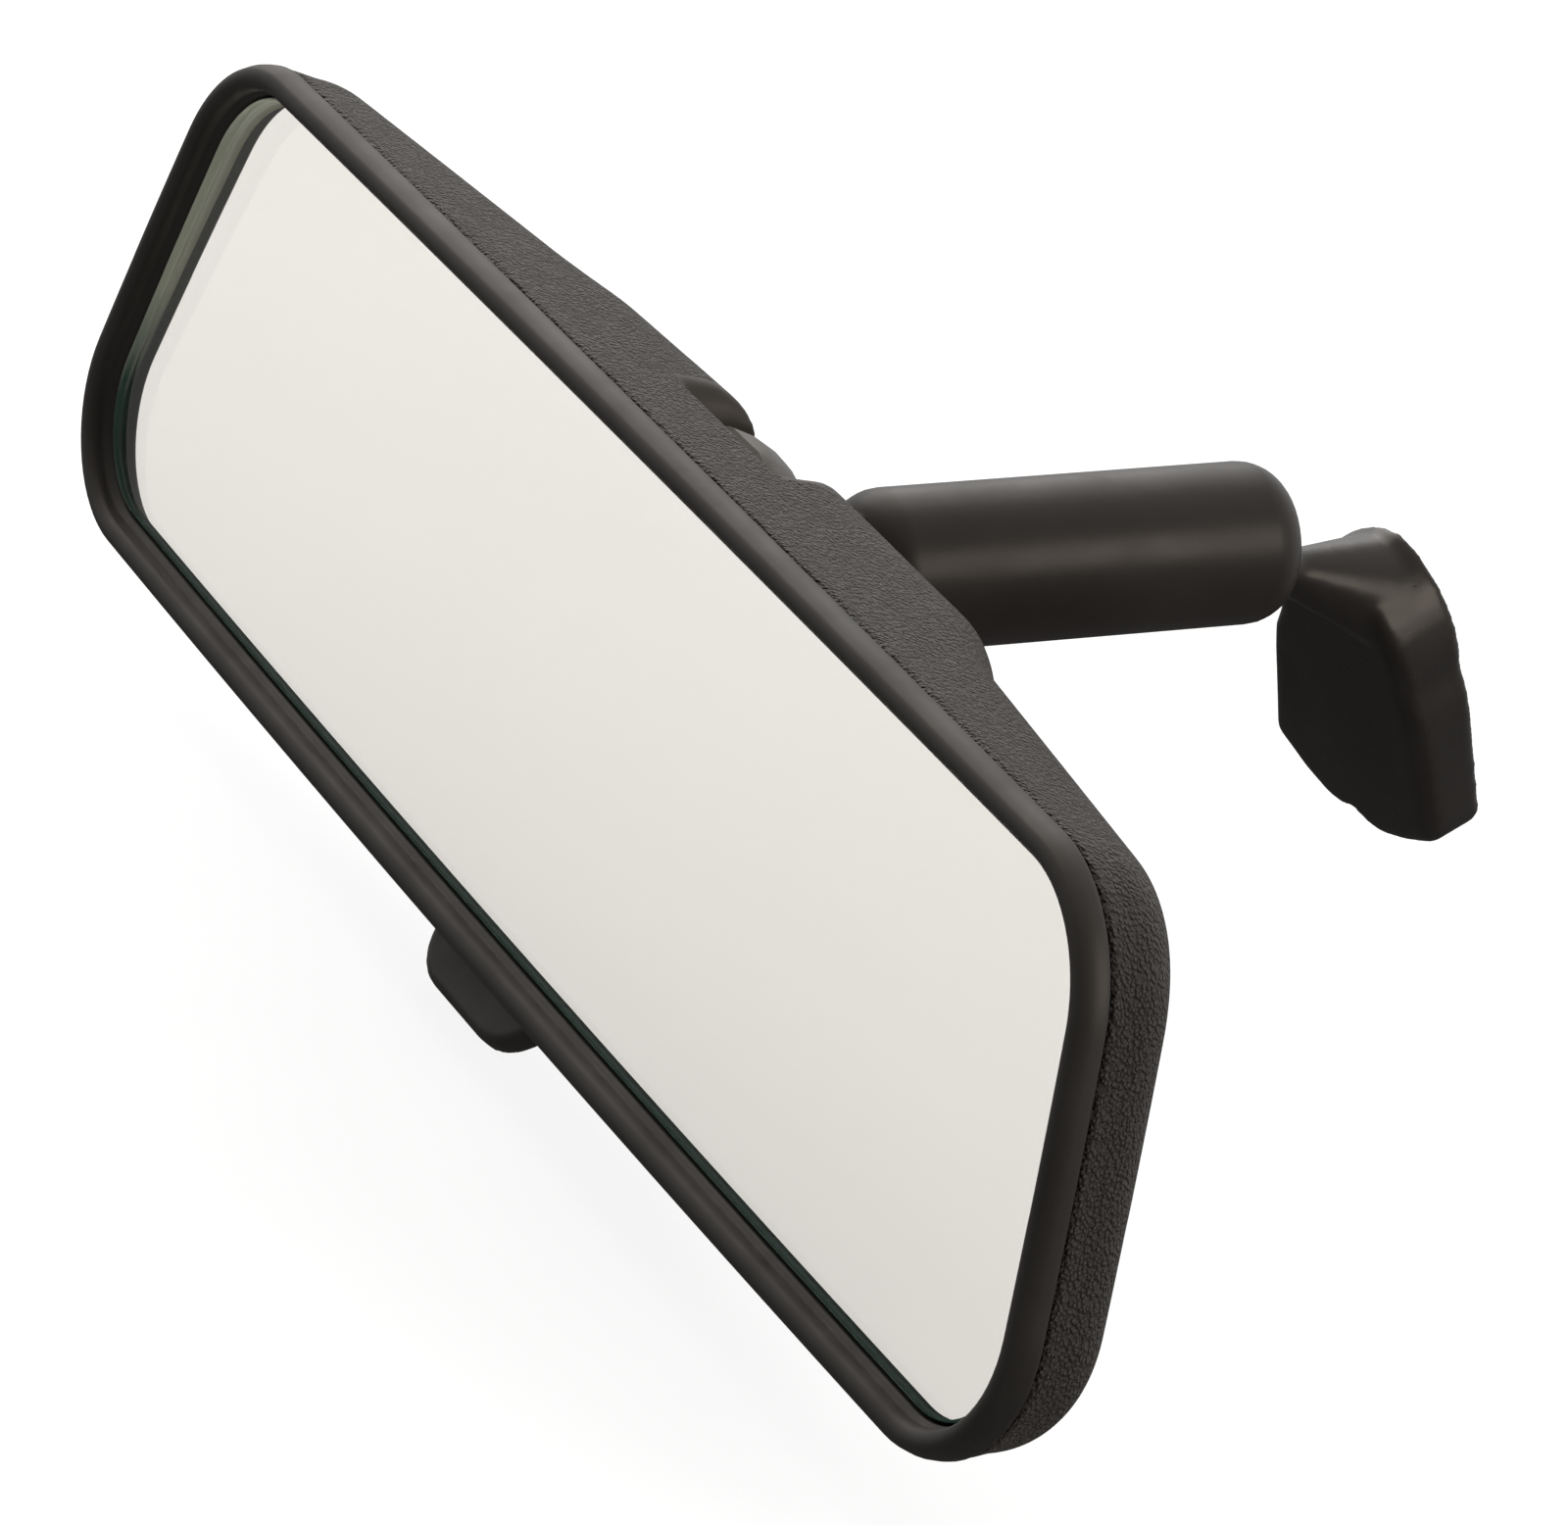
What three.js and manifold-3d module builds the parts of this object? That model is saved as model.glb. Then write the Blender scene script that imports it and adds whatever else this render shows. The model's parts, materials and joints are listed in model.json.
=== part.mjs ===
// Interior rearview mirror: prismatic day/night head on a double-ball arm with a slip-on foot.
// Millimetres, +Z up. X runs along the mirror, +Y points from the glass to the windshield.
// The head is drawn in its own frame (centre of the rim) and the whole object is then moved so
// that the origin sits on the foot's windshield face.
import * as THREE from "three";
import Module from "manifold-3d";
import { mergeVertices } from "three/addons/utils/BufferGeometryUtils.js";

const wasm = await Module();
wasm.setup();

// ---- head outline, measured to the middle of the rim bead ----
const RIM_HALF_TOP = 111.2;
const RIM_HALF_BOTTOM = 125.34;
const RIM_HALF_HEIGHT = 31.3;
const CORNER_TOP = 16.6;
const CORNER_BOTTOM = 15.1;
const BOW_TOP = 0.42;
const BOW_BOTTOM = 1.38;
const BOW_SIDE = 0.69;
const BEAD = 1.66;
const PARTING_Y = 2.14;
const GAP = 0.3;

// ---- case ----
const CASE_OUT = 1.53;
const CASE_WALL = 1.9;
const CASE_DRAFT = 0.8;
const CASE_ROUND = 8;
const CASE_END_DEPTH = 13.2;
const CASE_MID_DEPTH = 20.8;
const TAPER_START = 50;
const TAPER_SLOPE = 0.125;
const TURRET_RISE = 3.0;
const TURRET_LEAN = 0.024;
const TURRET_LONGER = 3;
const TURRET_IN = 38;
const TURRET_OUT = 53;
const NOTCH_HALF = 10.1;
const NOTCH_FRONT = 13;
const NOTCH_LOW = 7;
const NOTCH_TOP = 33;
const NOTCH_ROUND = 5;
const CHEEK_LOW = 25.8;
const CHEEK_WIDE = 8;

// ---- glass and backing ----
const GLASS_OFF = -2.35;
const GLASS_FRONT = 1.3;
const GLASS_THIN = 2.2;
const GLASS_THICK = 4.6;
const SILVER_T = 0.35;
const PAD_T = 1.4;
const CARRIER_Y = 8.4;
const CARRIER_T = 1.5;
const CARRIER_OFF = -4.6;

// ---- day/night pivot, drawn about x = 0 and set at PIVOT_X along the head ----
const PIVOT_X = -2.5;
const HINGE = new THREE.Vector3(0, 13.9, 19.3);
const DOME_R = 12.5;
const BLOCK_HALF = 9.4;
const HINGE_PIN_R = 1.5;
const LEVER_PIN = new THREE.Vector3(0, 17, -23.5);
const LEVER_PIN_R = 1.2;
const CRANK_R = 5.8;
const CRANK_TIP_R = 1.5;
const TAB_SHIFT = -2.6;
const EAR_IN = 10.1;
const EAR_T = 2.4;

// ---- arm ----
const BALL_R = 6.6;
const NECK_R = 2.7;
const SEAT_IN = 6.9;
const SEAT_OUT = 7.8;
const TUBE_BORE = 8.1;
const TUBE_R = 9.5;
const FRONT_BALL = new THREE.Vector3(0, 39.05, 17.15);
const ARM_RISE = 9.87;
const BALL_SPACING = 46.4;
const MOUTH_DEG = 66;

// ---- foot ----
const FOOT_YAW = 14;
const FOOT_RAKE = 30.3;
const FOOT_ROLL = 4;
const PLATE_HALF = 14.3;
const PLATE_T = 9;
const PLATE_WEDGE = 0.06;
const PLATE_TOP = 22.9;
const PLATE_LEAN = 0.07;
const SHOULDER_UP = 8.5;
const PLATE_BOTTOM = -20;
const MOUNT_UP = 10.5;
const CHANNEL_HALF = 7.4;
const CHANNEL_LIP = 6.2;
const CHANNEL_DEEP = 4.2;
const SCREW_R = 1.8;

const DEG = Math.PI / 180;
const V = (x, y, z) => new THREE.Vector3(x, y, z);

// ---- solids ----
function manifoldOf(geometry) {
  const bare = geometry.index ? geometry.toNonIndexed() : geometry.clone();
  bare.deleteAttribute("normal");
  bare.deleteAttribute("uv");
  const merged = mergeVertices(bare, 1e-4);
  const made = new wasm.Manifold(
    new wasm.Mesh({
      numProp: 3,
      vertProperties: merged.attributes.position.array,
      triVerts: new Uint32Array(merged.index.array),
    }),
  );
  return made;
}

function geometryOf(solid) {
  const mesh = solid.getMesh();
  const geometry = new THREE.BufferGeometry();
  geometry.setAttribute("position", new THREE.BufferAttribute(mesh.vertProperties, 3));
  geometry.setIndex(new THREE.BufferAttribute(mesh.triVerts, 1));
  return geometry;
}

const union = (first, ...rest) => rest.reduce((all, one) => all.add(one), first);
const less = (first, ...rest) => rest.reduce((all, one) => all.subtract(one), first);

function signedVolume(points, faces) {
  let total = 0;
  for (let i = 0; i < faces.length; i += 3) {
    const [a, b, c] = [points[faces[i]], points[faces[i + 1]], points[faces[i + 2]]];
    total += a.dot(b.clone().cross(c)) / 6;
  }
  return total;
}

function solidFrom(points, faces) {
  if (signedVolume(points, faces) < 0) faces.reverse();
  const geometry = new THREE.BufferGeometry().setFromPoints(points);
  geometry.setIndex(faces);
  return manifoldOf(geometry);
}

function bridge(faces, lower, upper, count) {
  for (let i = 0; i < count; i++) {
    const j = (i + 1) % count;
    faces.push(lower + i, lower + j, upper + j, lower + i, upper + j, upper + i);
  }
}

// A cap made of strips between point i and its partner on the other side of the ring.
function pairedCap(faces, base, count, outward) {
  for (let i = 0; i < count / 2; i++) {
    const quad = [i, i + 1, (count - i - 1) % count, (count - i) % count].map((k) => base + k);
    const triangles = [];
    if (i > 0) triangles.push([quad[0], quad[1], quad[3]]);
    if (i < count / 2 - 1) triangles.push([quad[1], quad[2], quad[3]]);
    if (i === 0) triangles[0] = [quad[0], quad[1], quad[2]];
    triangles.forEach((t) => faces.push(...(outward ? t : t.reverse())));
  }
}

// Rings of equal length joined one after the other and closed at both ends.
function loft(rings) {
  const count = rings[0].length;
  const faces = [];
  for (let k = 0; k + 1 < rings.length; k++) bridge(faces, k * count, (k + 1) * count, count);
  pairedCap(faces, 0, count, false);
  pairedCap(faces, (rings.length - 1) * count, count, true);
  return solidFrom(rings.flat(), faces);
}

// Rings joined into a closed loop, for a frame with a constant section.
function hoop(rings) {
  const count = rings[0].length;
  const faces = [];
  rings.forEach((_, k) => bridge(faces, k * count, ((k + 1) % rings.length) * count, count));
  return solidFrom(rings.flat(), faces);
}

// Solid of revolution: profile is [radius, height] pairs, turned so that height runs along `axis`.
function turned(profile, at, axis, segments = 32) {
  const geometry = new THREE.LatheGeometry(
    profile.map(([r, h]) => new THREE.Vector2(r, h)),
    segments,
  );
  const turn = new THREE.Quaternion().setFromUnitVectors(V(0, 1, 0), axis.clone().normalize());
  geometry.applyQuaternion(turn).translate(at.x, at.y, at.z);
  const solid = manifoldOf(geometry);
  return solid.volume() < 0 ? manifoldOf(flipped(geometry)) : solid;
}

function flipped(geometry) {
  const copy = geometry.clone();
  copy.index.array.reverse();
  return copy;
}

function rod(radius, from, to, segments = 24, chamfer = 0) {
  const length = from.distanceTo(to);
  const profile = chamfer
    ? [[0, 0], [radius - chamfer, 0], [radius, chamfer], [radius, length - chamfer],
       [radius - chamfer, length], [0, length]]
    : [[0, 0], [radius, 0], [radius, length], [0, length]];
  return turned(profile, from, to.clone().sub(from), segments);
}

function block(sx, sy, sz, at, turn) {
  const geometry = new THREE.BoxGeometry(sx, sy, sz);
  if (turn) geometry.applyMatrix4(new THREE.Matrix4().makeRotationFromEuler(turn));
  geometry.translate(at.x, at.y, at.z);
  return manifoldOf(geometry);
}

function ball(radius, at, segments = 32) {
  const geometry = new THREE.SphereGeometry(radius, segments, segments / 2);
  geometry.translate(at.x, at.y, at.z);
  return manifoldOf(geometry);
}

// Flat shape in the plane of `u` and `v`, pushed `depth` along their normal.
function slab(outline, depth, u, v, at) {
  const shape = new THREE.Shape(outline.map(([a, b]) => new THREE.Vector2(a, b)));
  const geometry = new THREE.ExtrudeGeometry(shape, { depth, bevelEnabled: false });
  const normal = u.clone().cross(v);
  geometry.applyMatrix4(new THREE.Matrix4().makeBasis(u, v, normal).setPosition(at));
  return manifoldOf(geometry);
}

// ---- head outline ----
const TOP = { w: RIM_HALF_TOP, r: CORNER_TOP, bow: BOW_TOP, sign: 1 };
const LOW = { w: RIM_HALF_BOTTOM, r: CORNER_BOTTOM, bow: BOW_BOTTOM, sign: -1 };
// Shares of each straight run, closer together where the turret rises from the case.
const EDGE_SHARES = [0, 0.16, 0.3, 0.4, 0.46, 0.52, 0.58, 0.7, 0.85];
const ARC_STEPS = 5;
const SIDE_STEPS = 3;

function bowed(x, z, q) {
  const h = RIM_HALF_HEIGHT;
  const dz = (q.sign * q.bow * (1 - (x / q.w) ** 2) * Math.abs(z)) / h;
  const dx = BOW_SIDE * (1 - (z / h) ** 2) * Math.min(1, x / q.w);
  return [x + dx, z + dz];
}

// A quarter of the outline, from the middle of a long edge round the corner to mid-height.
function quarter(q, off) {
  const h = RIM_HALF_HEIGHT;
  const corner = new THREE.Vector2(q.w, q.sign * h);
  const along = new THREE.Vector2(-1, 0);
  const side = new THREE.Vector2((TOP.w + LOW.w) / 2, 0).sub(corner).normalize();
  const angle = Math.acos(along.dot(side));
  const run = q.r / Math.tan(angle / 2);
  const middle = along.clone().add(side).normalize().multiplyScalar(q.r / Math.sin(angle / 2));
  const centre = corner.clone().add(middle);
  const start = corner.clone().addScaledVector(along, run);
  const end = corner.clone().addScaledVector(side, run);
  const a0 = Math.atan2(start.y - centre.y, start.x - centre.x);
  const a1 = Math.atan2(end.y - centre.y, end.x - centre.x);
  const points = [];
  EDGE_SHARES.forEach((share) => points.push([start.x * share, start.y + q.sign * off]));
  for (let i = 0; i <= ARC_STEPS; i++) {
    const a = a0 + ((a1 - a0) * i) / ARC_STEPS;
    points.push([centre.x + (q.r + off) * Math.cos(a), centre.y + (q.r + off) * Math.sin(a)]);
  }
  const outward = new THREE.Vector2(Math.cos(a1), Math.sin(a1)).multiplyScalar(off);
  for (let i = 1; i <= SIDE_STEPS; i++) {
    const x = end.x + (((TOP.w + LOW.w) / 2 - end.x) * i) / SIDE_STEPS;
    const z = end.y * (1 - i / SIDE_STEPS);
    points.push([x + outward.x, z + outward.y]);
  }
  return points.map(([x, z]) => bowed(x, z, q));
}

// Outline points [x, z], starting at mid-height on the left, over the top, back along the bottom.
function outline(off) {
  const top = quarter(TOP, off);
  const low = quarter(LOW, off);
  const mirrored = (list) => list.map(([x, z]) => [-x, z]);
  return [
    ...mirrored(top).reverse(),
    ...top.slice(1),
    ...low.slice(0, -1).reverse(),
    ...mirrored(low).slice(1, -1),
  ];
}

const ring = (off, depth) => outline(off).map(([x, z]) => V(x, depth(x, z), z));

const smooth = (t) => {
  const c = Math.min(1, Math.max(0, t));
  return c * c * (3 - 2 * c);
};

// How far back the case reaches behind the rim plane at a place along the mirror.
function backDepth(x) {
  const a = Math.abs(x);
  const body =
    a > TAPER_START
      ? Math.max(CASE_END_DEPTH, CASE_MID_DEPTH - (a - TAPER_START) * TAPER_SLOPE)
      : CASE_MID_DEPTH + 1.2 * smooth((TAPER_START - a) / TAPER_START);
  const reach = x > 0 ? a - TURRET_LONGER : a;
  const rise = TURRET_RISE + TURRET_LEAN * x;
  return body + rise * (1 - smooth((reach - TURRET_IN) / (TURRET_OUT - TURRET_IN)));
}

// The bowl of the case at a given inset from its outer skin.
function caseBowl(inset, first) {
  const round = CASE_ROUND - inset;
  const depth = (x) => backDepth(x) - inset;
  const base = CASE_OUT - inset;
  const rings = [ring(base, () => first)];
  rings.push(ring(base - CASE_DRAFT * 0.5, (x) => PARTING_Y + (depth(x) - round - PARTING_Y) * 0.5));
  for (let k = 0; k <= 5; k++) {
    const a = (k * Math.PI) / 10;
    const off = base - CASE_DRAFT - round * (1 - Math.cos(a));
    rings.push(ring(off, (x) => depth(x) - round * (1 - Math.sin(a))));
  }
  const edge = rings[rings.length - 1];
  [0.4, 0.8].forEach((t) => {
    rings.push(edge.map((p) => V(p.x * (1 - t * 0.12), depth(p.x * (1 - t * 0.12)), p.z * (1 - t))));
  });
  return loft(rings);
}

// The notch seen from behind: straight sides that round outward into the top of the case.
function notchOutline() {
  const side = [[NOTCH_HALF, NOTCH_LOW]];
  for (let k = 0; k <= 8; k++) {
    const a = (k * Math.PI) / 16;
    side.push([NOTCH_HALF + NOTCH_ROUND * (1 - Math.cos(a)), NOTCH_TOP - NOTCH_ROUND * (1 - Math.sin(a))]);
  }
  side.push([NOTCH_HALF + NOTCH_ROUND, NOTCH_TOP + 10]);
  return [...side, ...side.map(([x, z]) => [-x, z]).reverse()];
}

function caseShell() {
  const notch = slab(notchOutline(), 30, V(1, 0, 0), V(0, 0, 1), V(PIVOT_X, NOTCH_FRONT + 30, 0));
  const slot = block(19, 16, 12, V(PIVOT_X, 13.4, -32));
  const outer = caseBowl(0, PARTING_Y);
  const cheeks = [-1, 1].map((side) =>
    block(CHEEK_WIDE, 20, 20, V(PIVOT_X + side * (NOTCH_HALF + CHEEK_WIDE / 2), 22, CHEEK_LOW + 10)).intersect(outer),
  );
  const shell = less(outer, caseBowl(CASE_WALL, -4), slot);
  return less(union(shell, ...cheeks, ...SCREW_SPOTS.map(screwBoss)), notch);
}

// ---- rim ----
// Section of the rim: [outward, y] from the inner lip over the bead to the parting line and skirt.
function rimSection() {
  const skirt = CASE_OUT - CASE_WALL - GAP;
  const inner = -BEAD - 0.3;
  const front = [];
  for (let k = 0; k <= 5; k++) {
    const a = Math.PI - (k * Math.PI) / 6.4;
    front.push([-0.1 + 1.5 * Math.cos(a), -0.26 - 1.4 * Math.sin(a)]);
  }
  return [
    [-BEAD, 0.1],
    ...front,
    [BEAD - 0.26, -0.35],
    [BEAD - 0.05, 0.3],
    [BEAD, PARTING_Y - GAP],
    [skirt - 0.15, PARTING_Y - GAP],
    [skirt - 0.5, 4.1],
    [inner, 4.1],
    [inner, 0.9],
  ];
}

function bezelRim() {
  return hoop(rimSection().map(([off, y]) => ring(off, () => y)));
}

// ---- glass stack ----
const glassBack = (z) => {
  const t = (z + RIM_HALF_HEIGHT) / (2 * RIM_HALF_HEIGHT);
  return GLASS_FRONT + GLASS_THIN + (GLASS_THICK - GLASS_THIN) * t;
};

function prismGlass() {
  const bevel = 0.35;
  return loft([
    ring(GLASS_OFF - bevel, () => GLASS_FRONT),
    ring(GLASS_OFF, () => GLASS_FRONT + bevel),
    ring(GLASS_OFF, (x, z) => glassBack(z) - bevel),
    ring(GLASS_OFF - bevel, (x, z) => glassBack(z)),
  ]);
}

function sheetBehindGlass(off, from, thickness) {
  return loft([
    ring(off, (x, z) => glassBack(z) + from),
    ring(off, (x, z) => glassBack(z) + from + thickness),
  ]);
}

// Foam pad between the coated glass and the carrier, with clearance round the screw heads.
function foamPad() {
  const pad = sheetBehindGlass(GLASS_OFF - 1.6, GAP + SILVER_T + GAP, PAD_T);
  return less(pad, ...SCREW_SPOTS.map((s) => rod(3.4, V(s.x, 2, s.z), V(s.x, 12, s.z), 16)));
}

// ---- carrier ----
const SCREW_SPOTS = [V(-84, 0, 16), V(84, 0, 16), V(-84, 0, -16), V(84, 0, -16)];
const BOSS_R = 3.2;

function screwBoss(spot) {
  const back = backDepth(spot.x) - CASE_WALL + 0.6;
  const front = CARRIER_Y + CARRIER_T + GAP;
  const bore = [[0, -1], [1.25, -1], [1.25, 4.6], [0, 4.6]];
  const post = rod(BOSS_R, V(spot.x, front, spot.z), V(spot.x, back, spot.z), 20);
  return less(post, turned(bore, V(spot.x, front, spot.z), V(0, 1, 0), 16));
}

function carrierEar(x, pivot, reach, holeR) {
  const h = reach;
  const back = pivot.y + 4;
  const front = CARRIER_Y + CARRIER_T - 0.3;
  const face = [[front, pivot.z - h], [back - 2, pivot.z - h], [back, pivot.z - h + 2],
    [back, pivot.z + h - 2], [back - 2, pivot.z + h], [front, pivot.z + h]];
  const ear = slab(face, EAR_T, V(0, 1, 0), V(0, 0, 1), V(x + PIVOT_X, 0, 0));
  const [from, to] = [-1, EAR_T + 1].map((step) => V(x + PIVOT_X + step, pivot.y, pivot.z));
  return less(ear, rod(holeR, from, to));
}

function carrierRib(x) {
  return block(1.6, 3.4, 38, V(x, CARRIER_Y + CARRIER_T + 1.2, 0));
}

function carrierPlate() {
  const plate = loft([
    ring(CARRIER_OFF, () => CARRIER_Y),
    ring(CARRIER_OFF, () => CARRIER_Y + CARRIER_T),
  ]);
  const parts = [plate];
  [EAR_IN, -EAR_IN - EAR_T].forEach((x) => {
    parts.push(carrierEar(x, HINGE, 6, HINGE_PIN_R + GAP));
    parts.push(carrierEar(x, LEVER_PIN, 4.6, LEVER_PIN_R + GAP));
  });
  [-62, -38, 38, 62].forEach((x) => parts.push(carrierRib(x)));
  parts.push(block(120, 3.4, 1.6, V(0, CARRIER_Y + CARRIER_T + 1.2, -4)));
  const window = block(2 * BLOCK_HALF + 1.2, 10, 25, V(PIVOT_X, CARRIER_Y + 3, 20));
  const lower = block(2 * BLOCK_HALF + 1.2, 20, 26, V(PIVOT_X, CARRIER_Y + CARRIER_T + 10, -8));
  const holes = SCREW_SPOTS.map((s) => rod(1.7, V(s.x, 5, s.z), V(s.x, 13, s.z), 20));
  return less(union(...parts), window, lower, ...holes);
}

function carrierScrew(spot) {
  const head = CARRIER_Y - GAP;
  const y = (value) => value - head;
  const profile = [[0, y(CARRIER_Y - 1.5)], [1.9, y(CARRIER_Y - 1.5)], [2.7, y(CARRIER_Y - 1.0)],
    [2.8, y(head)], [0.95, y(head)], [0.95, y(CARRIER_Y + 5.2)], [0.4, y(CARRIER_Y + 6.1)],
    [0, y(CARRIER_Y + 6.1)]];
  const screw = turned(profile, V(spot.x, head, spot.z), V(0, 1, 0), 24);
  const slots = [0, 1].map((k) =>
    block(3.2, 0.8, 0.7, V(spot.x, CARRIER_Y - 1.5, spot.z), new THREE.Euler(0, (k * Math.PI) / 2, 0)),
  );
  return less(screw, ...slots);
}

// ---- day/night mechanism ----
const pin = (r, at, half) => rod(r, V(at.x - half, at.y, at.z), V(at.x + half, at.y, at.z), 24, 0.3);

function pivotBlock() {
  const keep = block(2 * BLOCK_HALF, 24, 24.6, V(0, 20.6, HINGE.z - 0.5));
  const dome = ball(DOME_R, HINGE, 36).intersect(keep);
  const wedge = block(30, 24, 12, V(0, 0, 0), new THREE.Euler(55 * DEG, 0, 0)).translate([
    0, HINGE.y - 6.7, HINGE.z + 9.65,
  ]);
  const barrel = rod(4.4, V(-BLOCK_HALF, HINGE.y, HINGE.z), V(BLOCK_HALF, HINGE.y, HINGE.z), 32);
  const leg = block(9, 2.4, 26, V(0, 19.2, 0));
  const web = block(9, 8, 3, V(0, 16.4, -11.5));
  const fork = [13.4, 18.9].map((y) => block(9, 1.5, 8.4, V(0, y + 0.75, -15.6)));
  const body = union(dome, barrel, leg, web, ...fork);
  const hole = rod(HINGE_PIN_R + GAP, V(-20, HINGE.y, HINGE.z), V(20, HINGE.y, HINGE.z));
  const seat = rod(2.4, V(0, 18, FRONT_BALL.z), V(0, 30, FRONT_BALL.z), 24);
  return less(body, wedge, hole, seat);
}

function ballStud() {
  const z = FRONT_BALL.z;
  const collar = turned([[0, 0], [4.2, 0], [4.6, 0.5], [4.6, 1.7], [4.0, 2.3], [0, 2.3]],
    V(0, HINGE.y + DOME_R + 0.35, z), V(0, 1, 0));
  const shank = rod(2.1, V(0, 18.6, z), V(0, 27.4, z), 24);
  const neck = rod(NECK_R, V(0, 27.4, z), V(0, FRONT_BALL.y, z), 24);
  return union(collar, shank, neck, ball(BALL_R, FRONT_BALL, 28));
}

function toggleLever() {
  const pinAt = LEVER_PIN;
  const hub = rod(2.9, V(-7.6, pinAt.y, pinAt.z), V(7.6, pinAt.y, pinAt.z), 28);
  const crank = block(7, 2.2, CRANK_R, V(0, pinAt.y, pinAt.z + CRANK_R / 2));
  const tip = rod(CRANK_TIP_R, V(-3.5, pinAt.y, pinAt.z + CRANK_R), V(3.5, pinAt.y, pinAt.z + CRANK_R), 20);
  const along = V(0, -0.525, -0.851).normalize();
  const across = V(1, 0, 0);
  const thick = across.clone().cross(along);
  const arm = slab([[-7.6, 0], [7.6, 0], [7.6, 15.6], [-7.6, 15.6]], 2.6, across, along,
    pinAt.clone().addScaledVector(thick, -1.3));
  const paddle = paddleSolid(across, along, thick, pinAt);
  const bore = rod(LEVER_PIN_R + GAP, V(-20, pinAt.y, pinAt.z), V(20, pinAt.y, pinAt.z));
  return less(union(hub, crank, tip, arm, paddle), bore);
}

// The finger tab: a flat paddle with well rounded outer corners and softened edges.
function paddleSolid(across, along, thick, origin) {
  const half = 13.8;
  const near = 14.4;
  const far = 23.7;
  const r = 7.5;
  const rim = (grow, level) => {
    const points = [[half + grow, near], [half + grow, near + 1]];
    for (let k = 0; k <= 6; k++) {
      const a = (k * Math.PI) / 12;
      points.push([half - r + (r + grow) * Math.cos(a), far - r + (r + grow) * Math.sin(a)]);
    }
    const right = points.reverse();
    const left = right.map(([x, s]) => [-x, s]).reverse();
    const loop = [...left, ...right.map(([x, s]) => [x, s])];
    return loop.map(([x, s]) => origin.clone().addScaledVector(across, x + TAB_SHIFT).addScaledVector(along, s)
      .addScaledVector(thick, level));
  };
  return fanLoft([rim(-0.9, -1.7), rim(0, -0.9), rim(0, 0.9), rim(-0.9, 1.7)]);
}

// Like loft, with each end closed by a fan from the middle of its ring.
function fanLoft(rings) {
  const count = rings[0].length;
  const points = rings.flat();
  const faces = [];
  for (let k = 0; k + 1 < rings.length; k++) bridge(faces, k * count, (k + 1) * count, count);
  [0, rings.length - 1].forEach((k) => {
    const middle = rings[k].reduce((sum, p) => sum.add(p), V(0, 0, 0)).divideScalar(count);
    points.push(middle);
    for (let i = 0; i < count; i++) {
      const edge = [k * count + i, k * count + ((i + 1) % count), points.length - 1];
      faces.push(...(k ? edge : edge.reverse()));
    }
  });
  return solidFrom(points, faces);
}

// Spring strip that snaps the lever over centre, set in the case behind the block's leg.
function toggleSpring() {
  const path = [];
  for (let k = 0; k <= 12; k++) {
    const t = k / 12;
    path.push([21.9 - 0.9 * Math.sin(t * Math.PI), -14 + 20 * t]);
  }
  const back = path.map(([y, z]) => [y + 0.4, z]).reverse();
  return slab([...path, ...back], 6, V(0, 1, 0), V(0, 0, 1), V(-3, 0, 0));
}

// ---- arm ----
const armDir = V(0, Math.cos(ARM_RISE * DEG), Math.sin(ARM_RISE * DEG));
const armBack = armDir.clone().negate();
const REAR_BALL = FRONT_BALL.clone().addScaledVector(armDir, BALL_SPACING);

function onSphere(radius, degrees) {
  return [radius * Math.sin(degrees * DEG), radius * Math.cos(degrees * DEG)];
}

// One end of the tube as [radius, distance beyond the ball centre], lip last.
const TUBE_END = [[TUBE_R, 0], [9.4, 1.0], [9.1, 2.0], [8.65, 2.9], [8.1, 3.6], [7.55, 4.1]];

function armTube() {
  const s = BALL_SPACING;
  const near = TUBE_END.map(([r, d]) => [r, -d]).reverse();
  const far = TUBE_END.map(([r, d]) => [r, s + d]);
  const bore = [];
  for (let k = 0; k <= 5; k++) {
    const [r, d] = onSphere(TUBE_BORE, MOUTH_DEG + (k * (90 - MOUTH_DEG)) / 5);
    bore.push([r, s + d]);
  }
  for (let k = 5; k >= 0; k--) {
    const [r, d] = onSphere(TUBE_BORE, MOUTH_DEG + (k * (90 - MOUTH_DEG)) / 5);
    bore.push([r, -d]);
  }
  const profile = [...near, ...far, ...bore, near[0]];
  return turned(profile, FRONT_BALL, armDir, 40);
}

function seatRing(centre, outward) {
  const arc = (radius, from, to) => {
    const points = [];
    for (let k = 0; k <= 3; k++) points.push(onSphere(radius, from + ((to - from) * k) / 3));
    return points;
  };
  const profile = [...arc(SEAT_IN, MOUTH_DEG + 1, 80), ...arc(SEAT_OUT, 80, MOUTH_DEG + 1)];
  return turned([...profile, profile[0]], centre, outward, 32);
}

// Cup that backs the ball inside the tube, with a skirt that centres the spring.
function socketCup(centre, outward) {
  const profile = [];
  for (let k = 0; k <= 6; k++) {
    const [r, d] = onSphere(SEAT_IN, 104 + (k * (170 - 104)) / 6);
    profile.push([r, d]);
  }
  profile.push([1.2, -9.4], [3.4, -9.4], [3.4, -11.6], [4.2, -11.6], [4.2, -9], [7.8, -8.2]);
  const lip = onSphere(SEAT_IN, 104);
  profile.push([7.8, lip[1] - 0.2], [lip[0] + 0.5, lip[1]], profile[0]);
  return turned(profile, centre, outward, 28);
}

class Helix extends THREE.Curve {
  constructor(radius, length, turns) {
    super();
    Object.assign(this, { radius, length, turns });
  }
  getPoint(t, target = new THREE.Vector3()) {
    const a = 2 * Math.PI * this.turns * t;
    return target.set(this.radius * Math.cos(a), this.length * t, this.radius * Math.sin(a));
  }
}

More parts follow.
